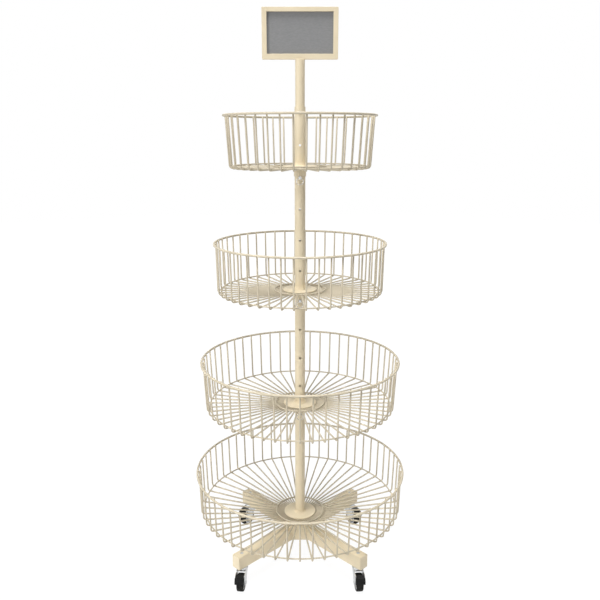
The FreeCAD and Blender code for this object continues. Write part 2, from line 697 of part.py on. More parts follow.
def stem_button():
    """Snap button on a folded spring strip inside the stem."""
    body = new_piece("stem_button")
    face = "-(Place.stem_bore - Size.strip_thickness)"
    clip = new_sketch(body, "YZ_Plane", "Clip", y="Place.button_height")
    outline(clip, [
        (face, "Size.strip_rise"),
        (face, "-Size.strip_drop"),
        ("Size.strip_back", "Size.strip_rise"),
        ("Size.strip_back - Size.strip_thickness", "Size.strip_rise"),
        (face + " + Size.strip_thickness", "-Size.strip_drop + 3 * Size.strip_thickness"),
        (face + " + Size.strip_thickness", "Size.strip_rise"),
    ])
    pad(body, clip, "Size.strip_width", centred=True)
    end = new_sketch(body, "XZ_Plane", "Button", y="Place.button_height", z="-(" + face + ")")
    circle(end, "Size.button_diameter / 2")
    pad(body, end, "Place.pole_radius + Size.button_proud + " + face)


def sign_frame():
    """Landscape frame with a window and a slot from its top for the card."""
    body = new_piece("sign_frame")
    face = new_sketch(body, "XZ_Plane")
    half = "Size.sign_width / 2"
    rectangle(face, "-" + half, half, "Place.sign_bottom", "Place.sign_top")
    pad(body, face, "Size.sign_depth", centred=True)
    round_edges(body, "Size.sign_corner", Vector(0, 1, 0))
    window = new_sketch(body, "XZ_Plane", "Window")
    low = "Place.sign_bottom + Size.bottom_border"
    rectangle(window, "-Place.window_side", "Place.window_side", low, "Place.sign_top - Size.top_border")
    cut(body, window, centred=True)
    slot = new_sketch(body, "XZ_Plane", "Slot")
    side = "(Place.card_side + Size.running_gap)"
    low = "Place.card_bottom - Size.running_gap"
    rectangle(slot, "-" + side, side, low, "Place.sign_top + Size.overrun")
    cut(body, slot, "Size.card_thickness + 2 * Size.running_gap", centred=True)


def sign_card():
    """Plain price card that slides into the frame from above."""
    body = new_piece("sign_card")
    face = new_sketch(body, "XZ_Plane")
    rectangle(face, "-Place.card_side", "Place.card_side", "Place.card_bottom", "Place.card_top")
    pad(body, face, "Size.card_thickness", centred=True)


def support_pin(tier):
    """Pin through the pole that a basket's hub rests on, with a stop and an eye at the front."""
    body = new_piece(tier + "_basket_pin")
    profile = new_sketch(body, "XY_Plane")
    tail = "Place.collar_radius + Size.pin_tail"
    stop = "-Place.pin_head_start"
    stop_front = stop + " - Size.pin_head_thickness"
    head = "Size.pin_head_diameter / 2"
    tip = "-Place.eye_place - Size.eye_end"
    outline(profile, [
        ("0", tail),
        ("Place.pin_radius", tail),
        ("Place.pin_radius", stop),
        (head, stop),
        (head, stop_front),
        ("Place.pin_radius", stop_front),
        ("Place.pin_radius", tip),
        ("0", tip),
    ])
    turn(body, profile)
    eye = new_sketch(body, "YZ_Plane", "Eye")
    circle(eye, "Size.eye_diameter / 2", x="-Place.eye_place")
    cut(body, eye, centred=True)
    place(body, z="Place.%s_pin" % tier)


def pull_ring(tier):
    """Ring of wire that hangs in the pin's eye."""
    body = new_piece(tier + "_pin_ring")
    section = new_sketch(body, "XY_Plane", y="-Place.eye_place", z="-Size.ring_radius")
    circle(section, "Size.ring_wire / 2", x="Size.ring_radius")
    turn(body, section)
    place(body, z="Place.%s_pin" % tier)


def basket_rim(tier):
    """Ring of thicker wire round the basket's mouth."""
    body = new_piece(tier + "_basket_rim")
    section = new_sketch(body, "XZ_Plane")
    circle(section, "Place.rim_radius_of_wire", x="Size.%s_rim_radius" % tier, y="Place.%s_rim" % tier)
    turn(body, section)
    place(body, z="Place.%s_floor" % tier)


def basket_floor_rings(tier):
    """Two rings that lie on the floor wires, one inside their feet and one round the hub."""
    body = new_piece(tier + "_basket_floor_rings", several=True)
    section = new_sketch(body, "XZ_Plane")
    lift = "Place.%s_slope * (%s - Size.disc_radius) + Place.ring_to_wire * Place.%s_stretch"
    for radius in ("Size.inner_ring_radius", "Place.%s_outer_ring" % tier):
        circle(section, "Size.floor_ring_wire / 2", x=radius, y=lift % (tier, radius, tier))
    turn(body, section)
    place(body, z="Place.%s_floor" % tier)


def basket_hub(tier):
    """Disc over the wires' inner ends, on a collar that turns round the pole."""
    body = new_piece(tier + "_basket_hub")
    profile = new_sketch(body, "XZ_Plane")
    outline(profile, [
        ("Place.collar_bore", "-Size.collar_drop"),
        ("Place.collar_radius", "-Size.collar_drop"),
        ("Place.collar_radius", "0"),
        ("Size.disc_radius", "0"),
        ("Size.disc_radius", "Size.disc_thickness"),
        ("Place.collar_radius", "Size.disc_thickness"),
        ("Place.collar_radius", "Size.disc_thickness + Size.collar_rise"),
        ("Place.collar_bore", "Size.disc_thickness + Size.collar_rise"),
    ])
    turn(body, profile)
    place(body, z="Place.%s_hub" % tier)


def bent_wire(body, tier):
    """One wire: down inside the rim, round the bend at its foot and in to the hub."""
    path = new_sketch(body, "XZ_Plane", "Path")
    top = Vector(value("Place.%s_wire_side" % tier), value("Place.%s_wire_top" % tier), 0)
    foot = Vector(value("Size.%s_foot_radius" % tier), value("Place.%s_rise" % tier), 0)
    end = Vector(value("Place.%s_spoke_end" % tier), value("Place.%s_spoke_dip" % tier), 0)
    bend = value("Size.wire_bend")
    up = (top - foot).normalize()
    inward = (end - foot).normalize()
    half_angle = up.getAngle(inward) / 2
    setback = bend / math.tan(half_angle)
    middle = foot + (up + inward).normalize() * (bend / math.sin(half_angle))
    from_wall = foot + up * setback
    to_floor = foot + inward * setback
    angles = []
    for point in (to_floor, from_wall):
        spoke = point - middle
        angles.append(math.atan2(spoke.y, spoke.x))
    path.addGeometry(Part.LineSegment(top, from_wall))
    path.addGeometry(Part.ArcOfCircle(Part.Circle(middle, Vector(0, 0, 1), bend), *angles))
    path.addGeometry(Part.LineSegment(to_floor, end))
    path.addGeometry(Part.Point(foot), True)
    hold_point(path, 0, 1, "Place.%s_wire_side" % tier, "Place.%s_wire_top" % tier)
    hold_point(path, 2, 2, "Place.%s_spoke_end" % tier, "Place.%s_spoke_dip" % tier)
    hold_point(path, 3, 1, "Size.%s_foot_radius" % tier, "Place.%s_rise" % tier)
    path.addConstraint(Rule("PointOnObject", 3, 1, 0))
    path.addConstraint(Rule("PointOnObject", 3, 1, 2))
    path.addConstraint(Rule("Tangent", 0, 2, 1, 2))
    path.addConstraint(Rule("Tangent", 1, 1, 2, 1))
    bind(path, Rule("Radius", 1, bend), "Size.wire_bend")
    section = body.newObject("Sketcher::SketchObject", "Section")
    section.AttachmentSupport = [(path, "Edge1")]
    section.MapMode = "NormalToEdge"
    circle(section, "Place.wire_radius")
    wire = body.newObject("PartDesign::AdditivePipe", "Wire")
    wire.Profile = section
    wire.Spine = (path, ["Edge1", "Edge2", "Edge3"])
    return path, wire


def basket_wires(tier):
    """Every bent wire of one basket."""
    body = new_piece(tier + "_basket_wires", several=True)
    path, wire = bent_wire(body, tier)
    doc.recompute()
    volume = wire.Shape.Volume
    expected = path.Shape.Length * math.pi * value("Place.wire_radius") ** 2
    print("%s basket wire: %.0f mm long, %.4f of its expected volume" % (
        tier, path.Shape.Length, volume / expected))
    ring_of(body, [wire], "Size.%s_wires" % tier)
    place(body, z="Place.%s_floor" % tier)


base_centre_box()
base_bottom_plate()
for leg_name, leg_angle in LEG_ANGLES.items():
    leg(leg_name, leg_angle)
leg_end_caps()
caster_studs()
caster_nuts()
for leg_name in LEG_ANGLES:
    fork(leg_name)
    axle(leg_name)
    wheel_core(leg_name)
    tyre(leg_name)
    brake_pedal(leg_name)
pole()
pole_foot_plug()
pole_bolt()
sign_stem()
stem_button()
sign_frame()
sign_card()
for tier_name in PINNED_TIERS:
    support_pin(tier_name)
    pull_ring(tier_name)
for tier_name in TIERS:
    basket_rim(tier_name)
    basket_wires(tier_name)
    basket_floor_rings(tier_name)
    basket_hub(tier_name)

doc.recompute()
faults = [item.Label for item in doc.Objects if "Invalid" in item.State or "Error" in item.State]
faults += [item.Label for item in pieces if item.Shape.isNull() or not item.Shape.isValid()]
if faults:
    raise RuntimeError("These failed: " + ", ".join(faults))

os.makedirs("parts", exist_ok=True)
for piece in pieces:
    piece.Shape.exportStep("parts/%s.step" % piece.Label)
print("%d sub-parts, %d solids" % (len(pieces), sum(len(item.Shape.Solids) for item in pieces)))
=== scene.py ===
# %% [markdown]
# # A tiered basket display stand
# Four round baskets of bent wire turn on one upright tube. The tube stands in a cross base on
# four braked casters, and carries a frame for a price card. The construction model gives every
# piece its place. This lesson gives each piece the shape and the finish of the real thing.

import json
from math import atan2, cos, pi, radians, sin, tan

import bmesh
import bpy
from mathutils import Matrix, Vector

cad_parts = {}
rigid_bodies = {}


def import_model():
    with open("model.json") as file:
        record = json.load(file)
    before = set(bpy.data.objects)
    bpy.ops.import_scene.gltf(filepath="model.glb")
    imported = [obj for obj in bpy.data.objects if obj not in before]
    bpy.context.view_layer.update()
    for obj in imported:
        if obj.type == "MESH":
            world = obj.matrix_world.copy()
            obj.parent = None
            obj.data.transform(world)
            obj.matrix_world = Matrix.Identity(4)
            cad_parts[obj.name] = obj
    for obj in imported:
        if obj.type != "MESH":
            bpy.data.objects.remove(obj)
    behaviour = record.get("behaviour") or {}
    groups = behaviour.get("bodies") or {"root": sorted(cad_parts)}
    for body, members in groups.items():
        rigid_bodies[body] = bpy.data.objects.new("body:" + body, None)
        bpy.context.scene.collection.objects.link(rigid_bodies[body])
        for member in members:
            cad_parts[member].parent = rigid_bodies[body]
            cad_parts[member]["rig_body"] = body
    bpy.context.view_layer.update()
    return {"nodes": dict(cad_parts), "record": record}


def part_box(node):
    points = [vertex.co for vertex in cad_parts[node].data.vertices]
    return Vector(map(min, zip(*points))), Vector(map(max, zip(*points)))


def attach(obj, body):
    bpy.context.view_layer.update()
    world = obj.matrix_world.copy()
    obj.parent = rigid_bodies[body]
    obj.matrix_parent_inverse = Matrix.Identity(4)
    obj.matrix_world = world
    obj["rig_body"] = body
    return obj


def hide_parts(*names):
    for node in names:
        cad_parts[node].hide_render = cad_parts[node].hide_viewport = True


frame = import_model()
nodes = frame["nodes"]
mm = 0.001

# %% [markdown]
# ## The camera
# The stand was photographed from its front. The camera stands 1.8 m before the pole and 1.25 m
# above the floor, and looks 14 degrees down. Its place and its focal length were worked out from
# how much the baskets' rims and floors open. A camera in Blender looks along its own -Z axis, so
# a right angle about X would look level, and a smaller one looks down.

# %% Place the camera
camera_data = bpy.data.cameras.new("camera")
camera_data.sensor_width = 36
camera_data.lens = 39.736
camera = bpy.data.objects.new("camera", camera_data)
camera.location = (0, -1.8136, 1.253)
camera.rotation_euler = (radians(76.084), 0, 0)
bpy.context.scene.collection.objects.link(camera)
bpy.context.scene.camera = camera
print("camera at", tuple(camera.location))

# %% [markdown]
# ## Small helpers for materials
# Every finish here is a Principled shader fed by a few noise patterns. They read Object
# coordinates, which are metres on these pieces, so a scale of 1000 gives grains of a millimetre.
# A helper for each of the three steps, noise, colour and bump, keeps the finishes short.


# %% Helpers for materials
finishes = {}


def new_finish(name, **settings):
    """Start the finish of a material slot and set its Principled shader's plain sockets."""
    material = bpy.data.materials.new(name + "_finish")
    material.use_nodes = True
    finishes[name] = material
    shader = material.node_tree.nodes["Principled BSDF"]
    for socket, content in settings.items():
        shader.inputs[socket.replace("_", " ")].default_value = content
    return material, shader


def grain(material, scale, detail=2, stretch=(1, 1, 1)):
    """A noise pattern on Object coordinates, stretched along an axis if asked."""
    tree = material.node_tree
    place = tree.nodes.new("ShaderNodeTexCoord")
    mapping = tree.nodes.new("ShaderNodeMapping")
    mapping.inputs["Scale"].default_value = stretch
    noise = tree.nodes.new("ShaderNodeTexNoise")
    noise.inputs["Scale"].default_value = scale
    noise.inputs["Detail"].default_value = detail
    tree.links.new(place.outputs["Object"], mapping.inputs["Vector"])
    tree.links.new(mapping.outputs["Vector"], noise.inputs["Vector"])
    return noise.outputs["Fac"]


def spread(material, pattern, low, high, socket):
    """Let a pattern run between two colours, or two numbers, into a socket of the shader."""
    tree = material.node_tree
    ramp = tree.nodes.new("ShaderNodeValToRGB")
    first, last = ramp.color_ramp.elements
    # Noise seldom leaves the middle of its range, so the ramp starts and ends inside it.
    first.position = 0.35
    last.position = 0.65
    first.color = low if isinstance(low, tuple) else (low, low, low, 1)
    last.color = high if isinstance(high, tuple) else (high, high, high, 1)
    tree.links.new(pattern, ramp.inputs["Fac"])
    tree.links.new(ramp.outputs["Color"], socket)


def roughen(material, shader, pattern, height, strength=1.0, over=None):
    """Turn a pattern into bumps of a given height in metres, on top of an earlier bump."""
    tree = material.node_tree
    bump = tree.nodes.new("ShaderNodeBump")
    bump.inputs["Distance"].default_value = height
    bump.inputs["Strength"].default_value = strength
    tree.links.new(pattern, bump.inputs["Height"])
    if over:
        tree.links.new(over.outputs["Normal"], bump.inputs["Normal"])
    tree.links.new(bump.outputs["Normal"], shader.inputs["Normal"])
    return bump


# %% [markdown]
# ## Cream powder coat
# The wires, the pole, the base and the sign's frame are sprayed with a polyester powder and baked.
# The film is satin, a little uneven in tone, and has a fine orange peel of about a millimetre.
# One noise at that size makes the peel, and a much larger one shifts the tone by a few percent.
# The baskets' wires get a darker, greyer copy of the coat with the same grain. That darker
# copy is painted shade: it stands in for the shade on the thin wires' sides and undersides.


# %% Cream powder coat
def powder_coat(name, low, high):
    """A satin powder coat whose tone wanders between two colours."""
    coat, shader = new_finish(name, Specular_IOR_Level=0.35, Coat_Weight=0.05, Coat_Roughness=0.3)
    spread(coat, grain(coat, 14, 3), low, high, shader.inputs["Base Color"])
    spread(coat, grain(coat, 60, 4), 0.38, 0.5, shader.inputs["Roughness"])
    peel = roughen(coat, shader, grain(coat, 650, 1), 0.00006, 0.6)
    roughen(coat, shader, grain(coat, 2600, 2), 0.00001, 0.5, over=peel)
    print("made", coat.name)


powder_coat("cream_coat", (0.74, 0.64, 0.455, 1), (0.79, 0.685, 0.495, 1))
# The darker, greyer copy for the baskets' wires is painted shade, not a different film.
powder_coat("painted_shade_cream_coat", (0.525, 0.464, 0.347, 1), (0.57, 0.504, 0.382, 1))

# %% [markdown]
# ## Zinc, steel, rubber and plastic
# The caster's pressings are zinc plated: a grey metal whose gloss is cloudy, with faint crystals.
# Pins and rings are bright drawn steel with fine lines along them. The tread is dull rubber with
# a little dust, the brake pedal is black plastic with the fine grain of its mould, the wheel's
# core is silver grey nylon, and the price card is bare grey board.

# %% Metals
zinc_plate, shader = new_finish("zinc_plate", Metallic=1.0)
cloud = grain(zinc_plate, 180, 5)
spread(zinc_plate, cloud, (0.50, 0.51, 0.52, 1), (0.66, 0.67, 0.67, 1),
       shader.inputs["Base Color"])
spread(zinc_plate, grain(zinc_plate, 90, 4), 0.28, 0.46, shader.inputs["Roughness"])
roughen(zinc_plate, shader, grain(zinc_plate, 900, 3), 0.00002, 0.5)

bright_steel, shader = new_finish("bright_steel", Metallic=1.0)
lines = grain(bright_steel, 1800, 2, stretch=(1, 0.06, 0.06))
spread(bright_steel, lines, (0.60, 0.60, 0.59, 1), (0.72, 0.72, 0.71, 1),
       shader.inputs["Base Color"])
spread(bright_steel, grain(bright_steel, 300, 3), 0.18, 0.3, shader.inputs["Roughness"])
roughen(bright_steel, shader, lines, 0.000008, 0.5)
print("made", zinc_plate.name, bright_steel.name)

# %% Rubber, plastic and card
black_tread, shader = new_finish("black_tread", Specular_IOR_Level=0.1)
dust = grain(black_tread, 120, 5)
spread(black_tread, dust, (0.008, 0.008, 0.008, 1), (0.028, 0.027, 0.025, 1),
       shader.inputs["Base Color"])
spread(black_tread, dust, 0.62, 0.82, shader.inputs["Roughness"])
roughen(black_tread, shader, grain(black_tread, 1400, 3), 0.00006, 0.6)

black_plastic, shader = new_finish("black_plastic", Specular_IOR_Level=0.12)
spread(black_plastic, grain(black_plastic, 80, 4), (0.006, 0.006, 0.006, 1),
       (0.012, 0.012, 0.012, 1), shader.inputs["Base Color"])
spread(black_plastic, grain(black_plastic, 500, 3), 0.34, 0.48, shader.inputs["Roughness"])
roughen(black_plastic, shader, grain(black_plastic, 2200, 2), 0.00003, 0.5)

grey_nylon, shader = new_finish("grey_nylon", Metallic=0.55)
spread(grey_nylon, grain(grey_nylon, 150, 3), (0.54, 0.55, 0.56, 1), (0.64, 0.65, 0.66, 1),
       shader.inputs["Base Color"])
spread(grey_nylon, grain(grey_nylon, 260, 3), 0.32, 0.44, shader.inputs["Roughness"])
roughen(grey_nylon, shader, grain(grey_nylon, 1200, 2), 0.00002, 0.4)

grey_card, shader = new_finish("grey_card", Specular_IOR_Level=0.25)
fibres = grain(grey_card, 500, 5, stretch=(0.3, 1, 1))
spread(grey_card, fibres, (0.235, 0.237, 0.24, 1), (0.262, 0.263, 0.266, 1),
       shader.inputs["Base Color"])
spread(grey_card, grain(grey_card, 40, 2), 0.72, 0.84, shader.inputs["Roughness"])
roughen(grey_card, shader, fibres, 0.00004, 0.5)
print("finishes", sorted(finishes))

# %% [markdown]
# ## Turning a bmesh into a finished piece
# Each new piece stands for one node of the construction model. It hides that node, rides on the
# same body and takes the same finish, so all three are looked up from the node. Faces that meet
# at less than the given angle are shaded as one smooth surface.

# %% Make a piece that stands for a node
finish_of = {part["node"]: part["material_slot"] for part in frame["record"]["subparts"]}


def as_piece(bm, node, sharp=35, edge=None, even=False, coat=None):
    """Make a piece from a bmesh. It replaces its node, and may get rounded edges or its own coat."""
    mesh = bpy.data.meshes.new(node + "_finished")
    bm.to_mesh(mesh)
    bm.free()
    mesh.shade_smooth()
    mesh.set_sharp_from_angle(angle=radians(sharp))
    mesh.materials.append(finishes[coat or finish_of[node]])
    piece = bpy.data.objects.new(mesh.name, mesh)
    bpy.context.scene.collection.objects.link(piece)
    if edge:
        rounding = piece.modifiers.new("rounded_edges", "BEVEL")
        rounding.width = edge
        rounding.segments = 3
        rounding.limit_method = "ANGLE"
        rounding.angle_limit = radians(sharp)
        rounding.use_clamp_overlap = True
    if edge or even:
        piece.modifiers.new("even_shading", "WEIGHTED_NORMAL").keep_sharp = not edge
    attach(piece, nodes[node]["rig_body"])
    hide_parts(node)
    return piece


def from_node(node):
    """Copy a node's loose triangles into a bmesh, join them and clear its flat faces."""
    bm = bmesh.new()
    bm.from_mesh(nodes[node].data)
    bmesh.ops.remove_doubles(bm, verts=bm.verts[:], dist=0.002 * mm)
    bmesh.ops.dissolve_limit(
        bm, angle_limit=radians(0.5), verts=bm.verts[:], edges=bm.edges[:], delimit={"NORMAL"}
    )
    return bm


def joined(parts):
    """Put several bmeshes into one."""
    whole = bmesh.new()
    for part in parts:
        mesh = bpy.data.meshes.new("part")
        part.to_mesh(mesh)
        part.free()
        whole.from_mesh(mesh)
        bpy.data.meshes.remove(mesh)
    return whole


# %% [markdown]
# ## Turned shapes
# Collars, wheels, studs and rivets are all turned about an axis. Each starts as an outline of a
# few points, given as radius and height. Its corners are rounded by a vertex bevel while it is
# still a flat line, and a full spin then makes the solid.


# %% Turn an outline about the Z axis
def turned(points, corner=0.3 * mm, steps=96, closed=True):
    """Spin an outline of (radius, height) points about Z."""
    bm = bmesh.new()
    corners = [bm.verts.new((radius, 0, height)) for radius, height in points]
    pairs = list(zip(corners, corners[1:]))
    if closed:
        pairs.append((corners[-1], corners[0]))
    for pair in pairs:
        bm.edges.new(pair)
    inner = corners if closed else corners[1:-1]
    bmesh.ops.bevel(
        bm, geom=inner, offset=corner, segments=3, profile=0.5, affect="VERTICES", material=-1
    )
    bmesh.ops.spin(
        bm, geom=bm.verts[:] + bm.edges[:], cent=(0, 0, 0), axis=(0, 0, 1), angle=2 * pi,
        steps=steps, use_merge=True,
    )
    bmesh.ops.remove_doubles(bm, verts=bm.verts[:], dist=0.001 * mm)
    bmesh.ops.recalc_face_normals(bm, faces=bm.faces[:])
    return bm


def in_metres(points):
    """Turn an outline's points from millimetres into metres."""
    return [(radius * mm, height * mm) for radius, height in points]


def placed(bm, place):
    """Move a bmesh by a matrix and return it."""
    bmesh.ops.transform(bm, matrix=place, verts=bm.verts[:])
    return bm


# %% [markdown]
# ## Sizes of the four baskets
# The baskets grow from the top down. The three upper ones rest on pins and have flat floors.
# The bottom one sits on the base, and its floor dishes upwards to its feet. The heights are
# those of the wires' middle lines, as in the construction model, and the wires' sizes are the
# radii of their sections. The weld is the small gap that the model leaves between its pieces.

# %% Sizes of the baskets
wire = 2.25 * mm
rim_wire = 3 * mm
ring_wire = 2 * mm
bend = 8 * mm
weld = 0.1 * mm
disc = 47 * mm
inner_ring = 71 * mm
outer_ring_inset = 9 * mm
spoke_spacing = 5 * mm
baskets = {
    "top": {"rim": 202, "foot": 188, "floor": 1170.35, "rise": 0, "depth": 135, "wires": 38},
    "upper": {"rim": 236, "foot": 228, "floor": 831.55, "rise": 0, "depth": 135, "wires": 46},
    "lower": {"rim": 282, "foot": 270, "floor": 492.75, "rise": 0, "depth": 135, "wires": 52},
    "bottom": {"rim": 305, "foot": 296, "floor": 136.85, "rise": 33.15, "depth": 119, "wires": 56},
}
for basket in baskets.values():
    for size in ("rim", "foot", "floor", "rise", "depth"):
        basket[size] *= mm
    basket["slope"] = basket["rise"] / (basket["foot"] - disc)
    basket["spoke_end"] = basket["wires"] * spoke_spacing / (2 * pi)
    basket["rings"] = (inner_ring, basket["foot"] - outer_ring_inset)
    basket["rim_height"] = basket["floor"] + basket["rise"] + basket["depth"]
print({name: round(basket["rim_height"], 4) for name, basket in baskets.items()})

# %% [markdown]
# ## Rims and floor rings
# A rim is one rod, rolled round and butt welded, so it has a small swelling where its ends meet.
# A circle of edges spun about the Z axis makes the rod, and the swelling is a gentle scale of
# the rod's own section near the seam. The seam is at the back left, clear of the outermost points.


# %% Rolled rings
def rolled_ring(radius, height, half_wire, sides=12, steps=180):
    """A round rod bent into a ring, with the swelling of its butt weld."""
    bm = bmesh.new()
    section = Matrix.Translation((radius, 0, height)) @ Matrix.Rotation(pi / 2, 4, "X")
    bmesh.ops.create_circle(bm, cap_ends=False, radius=half_wire, segments=sides, matrix=section)
    bmesh.ops.spin(
        bm, geom=bm.verts[:] + bm.edges[:], cent=(0, 0, 0), axis=(0, 0, 1), angle=2 * pi,
        steps=steps, use_merge=True,
    )
    seam = radians(130)
    seam_half = 6 * mm
    swelling = 0.12
    for vertex in bm.verts:
        bearing = atan2(vertex.co.y, vertex.co.x)
        away = abs(bearing - seam) * radius / seam_half
        if away < 1:
            middle = Vector((radius * cos(bearing), radius * sin(bearing), height))
            vertex.co = middle + (vertex.co - middle) * (1 + swelling * (1 - away * away))
    bmesh.ops.recalc_face_normals(bm, faces=bm.faces[:])
    return bm


# Rims and floor rings take the darker copy of the coat, which is painted shade.
for name, basket in baskets.items():
    rim = rolled_ring(basket["rim"], basket["rim_height"], rim_wire, steps=240)
    as_piece(rim, name + "_basket_rim", sharp=60, coat="painted_shade_cream_coat")
    lift = (ring_wire + wire + weld) * (1 + basket["slope"] ** 2) ** 0.5
    rings = []
    for radius in basket["rings"]:
        height = basket["floor"] + basket["slope"] * (radius - disc) + lift
        rings.append(rolled_ring(radius, height, ring_wire, sides=10))
    as_piece(joined(rings), name + "_basket_floor_rings", sharp=60, coat="painted_shade_cream_coat")
print("rims and floor rings for", len(baskets), "baskets")

# %% [markdown]
# ## Bent wires
# A basket's side and floor are the same wires: each runs from the hub out to its foot, turns up
# through a small bend and ends against the inside of the rim. They are spot welded, and every
# weld squeezes out a small nub. One wire is extruded from a circle and spun round its bend. It
# gets its nubs, and is then repeated round the pole by a spin with duplicates. There are 192 of
# them, so each has only a few dozen faces.


# %% One bent wire
def extended(bm, edges, move, shrink=1.0):
    """Extrude a ring of edges, move it and return the new ring."""
    made = bmesh.ops.extrude_edge_only(bm, edges=edges)["geom"]
    vertices = [item for item in made if isinstance(item, bmesh.types.BMVert)]
    bmesh.ops.translate(bm, verts=vertices, vec=move)
    middle = sum((vertex.co for vertex in vertices), Vector()) / len(vertices)
    for vertex in vertices:
        vertex.co = middle + (vertex.co - middle) * shrink
    return [item for item in made if isinstance(item, bmesh.types.BMEdge) and item.is_boundary]


def bent_wire(basket):
    """One wire in the XZ plane: from the hub to its foot, and up to the rim."""
    spoke_dip = basket["slope"] * (basket["spoke_end"] - disc)
    start = Vector((basket["spoke_end"], 0, basket["floor"] + spoke_dip))
    foot = Vector((basket["foot"], 0, basket["floor"] + basket["rise"]))
    below_rim_top = 1 * mm
    top_height = basket["rim_height"] + rim_wire - below_rim_top
    top = Vector((basket["rim"] - rim_wire - wire - weld, 0, top_height))
    out = (foot - start).normalized()
    up = (top - foot).normalized()
    turn = out.angle(up)
    setback = bend * tan(turn / 2)
    from_spoke = foot - out * setback
    to_side = foot + up * setback
    tip = 0.9 * mm
    tip_narrowing = 0.6
    bm = bmesh.new()
    facing = Matrix.Translation(start) @ out.to_track_quat("Z", "Y").to_matrix().to_4x4()
    bmesh.ops.create_circle(
        bm, cap_ends=False, radius=wire * tip_narrowing, segments=8, matrix=facing
    )
    edges = extended(bm, bm.edges[:], out * tip, shrink=1 / tip_narrowing)
    edges = extended(bm, edges, from_spoke - start - out * tip)
    vertices = list({vertex for edge in edges for vertex in edge.verts})
    middle = from_spoke + Vector((-out.z, 0, out.x)) * bend
    round_bend = bmesh.ops.spin(
        bm, geom=vertices + edges, cent=middle, axis=(0, -1, 0), angle=turn, steps=4
    )
    edges = [item for item in round_bend["geom_last"] if isinstance(item, bmesh.types.BMEdge)]
    edges = extended(bm, edges, top - to_side - up * tip)
    extended(bm, edges, up * tip, shrink=tip_narrowing)
    bmesh.ops.holes_fill(bm, edges=[edge for edge in bm.edges if edge.is_boundary], sides=0)
    return bm


def weld_nub(bm, x, z, flat):
    """A small squeezed-out weld between a wire and what it crosses."""
    size = 2.7 * mm
    spread_across = 1.15
    shape = Matrix.Diagonal((flat[0], spread_across, flat[1], 1))
    place = Matrix.Translation((x, 0, z)) @ shape
    bmesh.ops.create_uvsphere(bm, u_segments=6, v_segments=4, radius=size, matrix=place)


# %% All the wires of a basket
def wires_of(basket):
    """Every wire of one basket, with a nub at the rim, at both rings and at the hub."""
    bm = bent_wire(basket)
    weld_nub(bm, basket["rim"] - rim_wire - weld, basket["rim_height"], (0.45, 0.9))
    for radius in (disc - 2 * mm, *basket["rings"]):
        height = basket["floor"] + basket["slope"] * (radius - disc) + wire
        weld_nub(bm, radius, height, (0.9, 0.4))
    bmesh.ops.recalc_face_normals(bm, faces=bm.faces[:])
    count = basket["wires"]
    bmesh.ops.spin(
        bm, geom=bm.verts[:] + bm.edges[:] + bm.faces[:], cent=(0, 0, 0), axis=(0, 0, 1),
        angle=2 * pi * (count - 1) / count, steps=count - 1, use_duplicate=True,
    )
    return bm


# The wires take the darker copy of the coat, which is painted shade.
for name, basket in baskets.items():
    piece = as_piece(wires_of(basket), name + "_basket_wires", sharp=50, coat="painted_shade_cream_coat")
    print(piece.name, "faces", len(piece.data.polygons))

# %% [markdown]
# ## Hubs
# The spokes' inner ends are welded under a disc, and the disc to a short collar that slides on
# the pole. The collar's weld shows as a rippled bead where it meets the disc, above and below.


# %% Hubs with their weld beads
def ring_bead(radius, height, thickness, ripples):
    """A weld bead that runs round a joint, with the ripples the torch leaves."""
    bm = bmesh.new()
    section = Matrix.Translation((radius, 0, height)) @ Matrix.Rotation(pi / 2, 4, "X")
    bmesh.ops.create_circle(bm, cap_ends=False, radius=thickness, segments=8, matrix=section)
    bmesh.ops.spin(
        bm, geom=bm.verts[:] + bm.edges[:], cent=(0, 0, 0), axis=(0, 0, 1), angle=2 * pi,
        steps=144, use_merge=True,
    )
    for vertex in bm.verts:
        bearing = atan2(vertex.co.y, vertex.co.x)
        middle = Vector((radius * cos(bearing), radius * sin(bearing), height))
        # The torch's ripples are even, and a slow wave makes them a little irregular.
        swell = 1 + 0.1 * sin(bearing * ripples) + 0.04 * sin(bearing * 7 + 1)
        vertex.co = middle + (vertex.co - middle) * swell
    bmesh.ops.recalc_face_normals(bm, faces=bm.faces[:])
    return bm


bore = 14.8 * mm
collar = 16.5 * mm
skirt = 25.4 * mm
neck = 10.5 * mm
disc_thickness = 2.5 * mm
bead_radius = collar + 0.5 * mm
bead_lift = 0.4 * mm
for name, basket in baskets.items():
    low = basket["floor"] + wire + weld
    high = low + disc_thickness
    outline = [
        (bore, low - skirt), (collar, low - skirt), (collar, low), (disc, low),
        (disc, high), (collar, high), (collar, low + neck), (bore, low + neck),
    ]
    hub = [
        turned(outline, corner=0.5 * mm),
        ring_bead(bead_radius, high + bead_lift, 1.7 * mm, ripples=26),
        ring_bead(bead_radius, low - bead_lift, 1.5 * mm, ripples=26),
    ]
    as_piece(joined(hub), name + "_basket_hub", sharp=50)
print("hubs done")

# %% [markdown]
# ## Straight welds
# The base and the sign are welded along straight joints. A circle of edges is extruded along the
# joint, and every other step shrinks it a little, which gives the bead its scales.


# %% Straight weld beads
def straight_bead(start, end, thickness, pitch=2.6 * mm):
    """A weld bead along a straight joint: one scale after another, each a little overlapped."""
    start = Vector(start)
    along = Vector(end) - start
    way = along.normalized()
    scales = max(2, round(along.length / pitch))
    bm = bmesh.new()
    facing = Matrix.Translation(start) @ way.to_track_quat("Z", "Y").to_matrix().to_4x4()
    bmesh.ops.create_circle(bm, cap_ends=False, radius=thickness * 0.5, segments=8, matrix=facing)
    short_step = way * (0.3 * along.length / scales)
    long_step = way * (0.7 * along.length / scales)
    waist = 0.84
    edges = extended(bm, bm.edges[:], short_step, shrink=2)
    for _ in range(scales - 1):
        edges = extended(bm, edges, long_step, shrink=waist)
        edges = extended(bm, edges, short_step, shrink=1 / waist)
    extended(bm, edges, long_step, shrink=0.5)
    bmesh.ops.holes_fill(bm, edges=[edge for edge in bm.edges if edge.is_boundary], sides=0)
    bmesh.ops.recalc_face_normals(bm, faces=bm.faces[:])
    return bm


